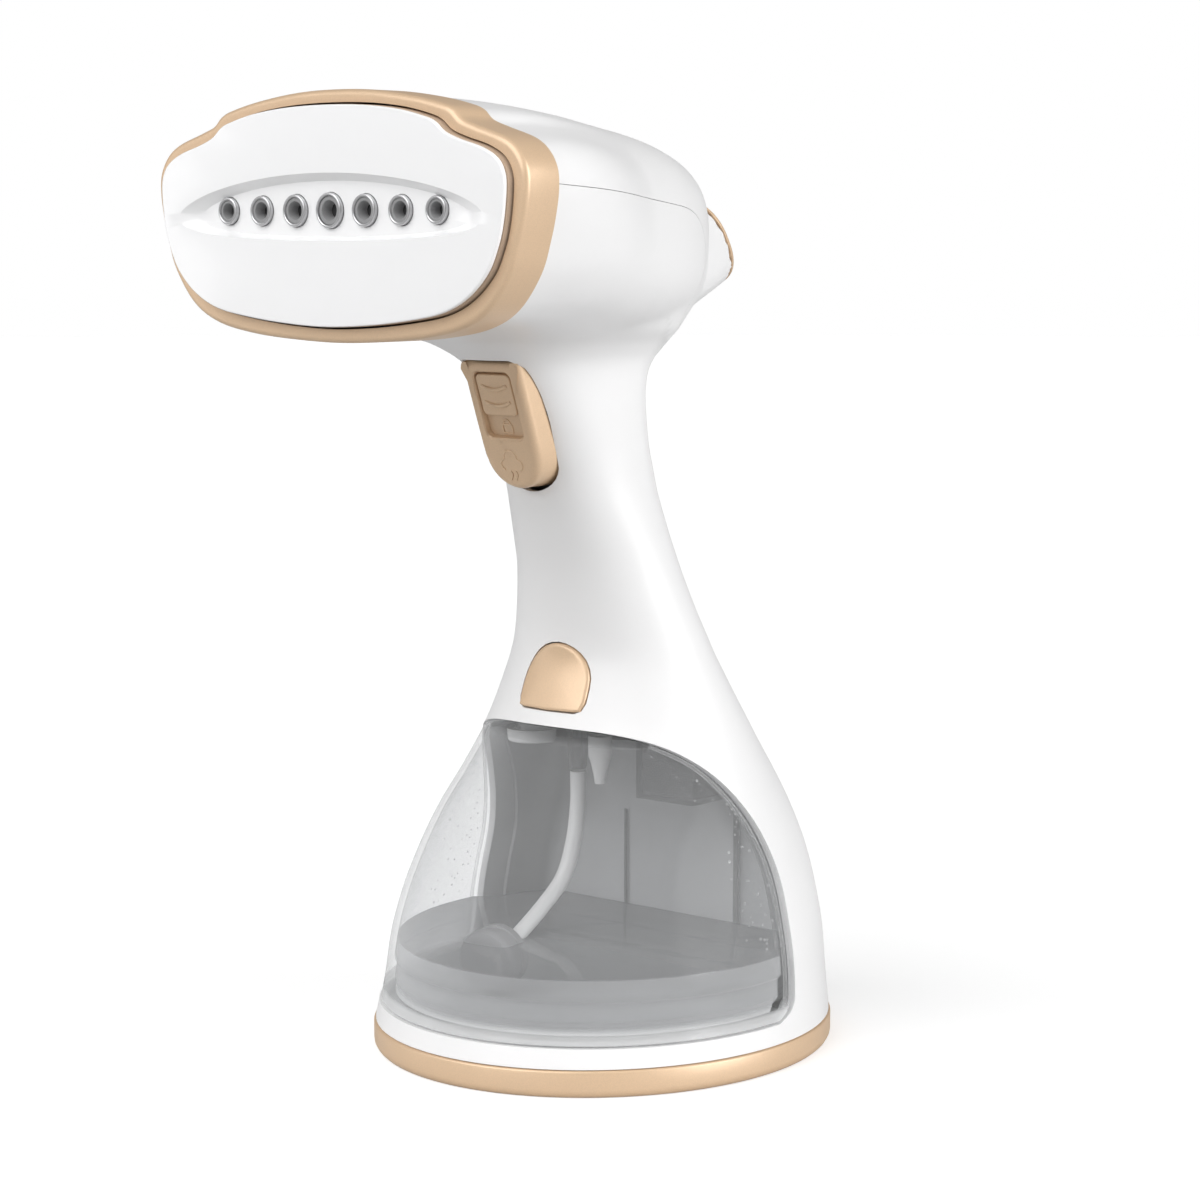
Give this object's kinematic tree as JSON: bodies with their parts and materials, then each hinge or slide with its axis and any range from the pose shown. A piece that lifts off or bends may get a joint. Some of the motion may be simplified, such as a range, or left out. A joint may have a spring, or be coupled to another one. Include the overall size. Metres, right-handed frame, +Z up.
{
  "type": "handheld garment steamer",
  "caption": "Upright handheld garment steamer with a wide steam head, slim handle, lockable trigger and a pull-off clear water tank in its bell-shaped base.",
  "frame": {"origin": "centre of the foot pad's underside, which the steamer stands on", "axes": "+Z up through the handle, -Y the way the steam head faces, X across the head; the shape is symmetric about X = 0"},
  "size_m": [0.1332, 0.1838, 0.2703],
  "materials": {
    "white_plastic": "satin moulded plastic",
    "gold_plastic": "fine-grained champagne paint",
    "panel": "smooth ceramic-coated plate",
    "insulator": "satin tan plastic",
    "chrome": "polished",
    "clear_plastic": "clear moulded plastic",
    "grey_plastic": "matte",
    "black_plastic": "matte",
    "silicone": "translucent silicone",
    "rubber": "matte",
    "aluminium": "as cast",
    "steel": "bright",
    "copper": "enamelled wire",
    "board": "solder mask",
    "lamp": "diffusing lens"
  },
  "bodies": {
    "housing": {"main_housing": "white_plastic", "head_top_cover": "white_plastic", "back_cover": "white_plastic", "latch_bracket": "white_plastic", "spring_post": "white_plastic", "base_ring": "gold_plastic", "bezel_ring": "gold_plastic", "rear_panel": "gold_plastic", "rear_trim": "gold_plastic", "steam_panel": "panel", "insulating_ring": "insulator", "nozzle_1": "chrome", "nozzle_2": "chrome", "nozzle_3": "chrome", "nozzle_4": "chrome", "nozzle_5": "chrome", "nozzle_6": "chrome", "nozzle_7": "chrome", "thermostat": "chrome", "base_plate": "grey_plastic", "tank_bay_wall": "grey_plastic", "pump_body": "black_plastic", "steam_switch": "black_plastic", "power_switch": "black_plastic", "cord_gland": "black_plastic", "suction_pipe": "silicone", "pressure_pipe": "silicone", "foot_pad": "rubber", "heater_block": "aluminium", "heating_element": "steel", "steam_inlet": "steel", "trigger_pin": "steel", "trigger_spring": "steel", "release_spring": "steel", "latch_pin": "steel", "base_screw_1": "steel", "base_screw_2": "steel", "base_screw_3": "steel", "base_screw_4": "steel", "pump_coil": "copper", "thermal_fuse": "copper", "control_board": "board", "status_lamp": "lamp"},
    "trigger": {"steam_trigger": "gold_plastic"},
    "lock": {"lock_slider": "gold_plastic"},
    "release": {"release_button": "gold_plastic"},
    "latch": {"tank_latch": "grey_plastic"},
    "tank": {"water_tank": "clear_plastic", "tank_lid": "clear_plastic", "hose_connector": "clear_plastic", "pickup_hose": "silicone", "inlet_filter": "grey_plastic", "vent_valve": "silicone"},
    "plug": {"fill_plug": "silicone"},
    "power": {"power_button": "white_plastic"},
    "plunger": {"switch_plunger": "black_plastic"}
  },
  "joints": [
    {"name": "trigger_swing", "type": "hinge", "parent": "housing", "child": "trigger", "pos_m": [0, -0.037, 0.1955], "axis": [1, 0, 0], "range_deg": [0, 5], "stiffness_Nm_per_rad": 0.6, "springref_deg": -2.86},
    {"name": "lock_slide", "type": "slide", "parent": "trigger", "child": "lock", "axis": [0, 0.3355, -0.9421], "range_m": [0, 0.0045]},
    {"name": "release_press", "type": "slide", "parent": "housing", "child": "release", "axis": [0, 1, 0], "range_m": [0, 0.0022], "stiffness_N_per_m": 400, "springref_m": -0.0005, "deforming": ["release_spring"]},
    {"name": "latch_swing", "type": "hinge", "parent": "housing", "child": "latch", "pos_m": [0, -0.009, 0.0995], "axis": [1, 0, 0], "range_deg": [-16, 0]},
    {"name": "tank_pull", "type": "slide", "parent": "housing", "child": "tank", "axis": [0, -1, 0], "range_m": [0, 0.12]},
    {"name": "plug_open", "type": "hinge", "parent": "tank", "child": "plug", "pos_m": [-0.0196, -0.0025, 0.0936], "axis": [-1, 0, 0], "range_deg": [0, 80]},
    {"name": "power_press", "type": "slide", "parent": "housing", "child": "power", "axis": [0, -0.8526, -0.5225], "range_m": [0, 0.0008], "stiffness_N_per_m": 500, "springref_m": -0.0003},
    {"name": "plunger_travel", "type": "slide", "parent": "housing", "child": "plunger", "axis": [0, 1, 0], "range_m": [0, 0.0013]}
  ],
  "couplings": [
    {"joint": "latch_swing", "follows": "release_press", "rad_per_m": -118},
    {"joint": "plunger_travel", "follows": "trigger_swing", "m_per_rad": 0.0137}
  ]
}
